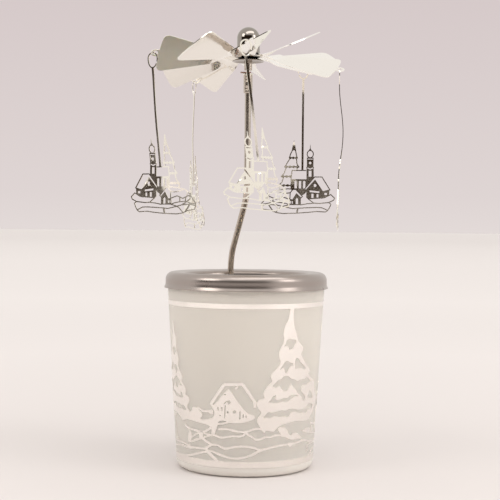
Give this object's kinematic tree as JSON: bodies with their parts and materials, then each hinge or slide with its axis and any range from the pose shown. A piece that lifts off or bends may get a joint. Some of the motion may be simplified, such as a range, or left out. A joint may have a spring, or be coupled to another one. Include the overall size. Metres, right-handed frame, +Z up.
{
  "type": "candle carousel",
  "caption": "Frosted tapered glass tea-light holder with a steel lid ring, a bent mast, and a vane wheel on a needle pivot that carries hanging village pendants.",
  "frame": {"origin": "centre of the glass's flat base, on the axis of the glass, the lid and the mast's upright", "axes": "+Z up along the axis; -Y is the front, with one eyed blade pointing at it; the mast's foot stands at the back of the lid's opening, towards +Y"},
  "size_m": [0.0869, 0.0884, 0.1753],
  "materials": {
    "frosted_glass": "frosted, acid etched",
    "tin_aluminium": "thin bright stamped",
    "wax": "paraffin wax, translucent white",
    "wick": "braided cotton, waxed",
    "lid_steel": "satin, drawn",
    "rod_steel": "drawn wire, semi-bright",
    "needle_steel": "bright ground",
    "clip_wire": "spring wire, tempered brown",
    "bearing_brass": "turned",
    "cap_chrome": "polished",
    "dark_washer": "blackened, satin",
    "mirror_sheet": "mirror-polished thin stainless sheet",
    "pendant_sheet": "mirror-polished etched sheet",
    "silver_print": "fired mirror-silver decoration on the glass"
  },
  "bodies": {
    "glass": {"glass_cup": "frosted_glass"},
    "tealight": {"tealight_cup": "tin_aluminium", "tealight_wax": "wax", "tealight_wick": "wick", "wick_tab": "tin_aluminium"},
    "lid": {"lid_ring": "lid_steel", "mast_rod": "rod_steel", "mast_weld": "rod_steel", "crimp_sleeve": "rod_steel", "pivot_needle": "needle_steel", "stop_washer": "needle_steel", "stop_clip": "clip_wire"},
    "rotor": {"bearing_tube": "rod_steel", "bearing_cup": "bearing_brass", "hub_cap": "cap_chrome", "top_washer": "dark_washer", "dished_washer": "cap_chrome", "vane_wheel": "mirror_sheet"},
    "hanger_1": {"pendant_1": "pendant_sheet"},
    "hanger_2": {"pendant_2": "pendant_sheet"},
    "hanger_3": {"pendant_3": "pendant_sheet"},
    "hanger_4": {"pendant_4": "pendant_sheet"},
    "hanger_5": {"pendant_5": "pendant_sheet"}
  },
  "joints": [
    {"name": "lid_lift", "type": "slide", "parent": "glass", "child": "lid", "axis": [0, 0, 1], "range_m": [0, 0.06]},
    {"name": "tealight_lift", "type": "slide", "parent": "glass", "child": "tealight", "axis": [0, 0, 1], "range_m": [0, 0.035]},
    {"name": "rotor_spin", "type": "hinge", "parent": "lid", "child": "rotor", "pos_m": [0, 0, 0.1708], "axis": [0, 0, 1], "continuous": true},
    {"name": "pendant_1_swing", "type": "hinge", "parent": "rotor", "child": "hanger_1", "pos_m": [-0.03725, -0.01046, 0.16118], "axis": [-0.5299, -0.848, 0], "range_deg": [-20, 20]},
    {"name": "pendant_2_swing", "type": "hinge", "parent": "rotor", "child": "hanger_2", "pos_m": [-0.02287, 0.03101, 0.15499], "axis": [-0.9397, -0.342, 0], "range_deg": [-20, 20]},
    {"name": "pendant_3_swing", "type": "hinge", "parent": "rotor", "child": "hanger_3", "pos_m": [-0.00081, -0.03839, 0.16264], "axis": [0.4067, -0.9135, 0], "range_deg": [-20, 20]},
    {"name": "pendant_4_swing", "type": "hinge", "parent": "rotor", "child": "hanger_4", "pos_m": [0.02328, 0.03086, 0.16204], "axis": [0, 1, 0], "range_deg": [-20, 20]},
    {"name": "pendant_5_swing", "type": "hinge", "parent": "rotor", "child": "hanger_5", "pos_m": [0.03565, -0.01182, 0.15533], "axis": [0.9976, -0.0698, 0], "range_deg": [-20, 20]}
  ]
}
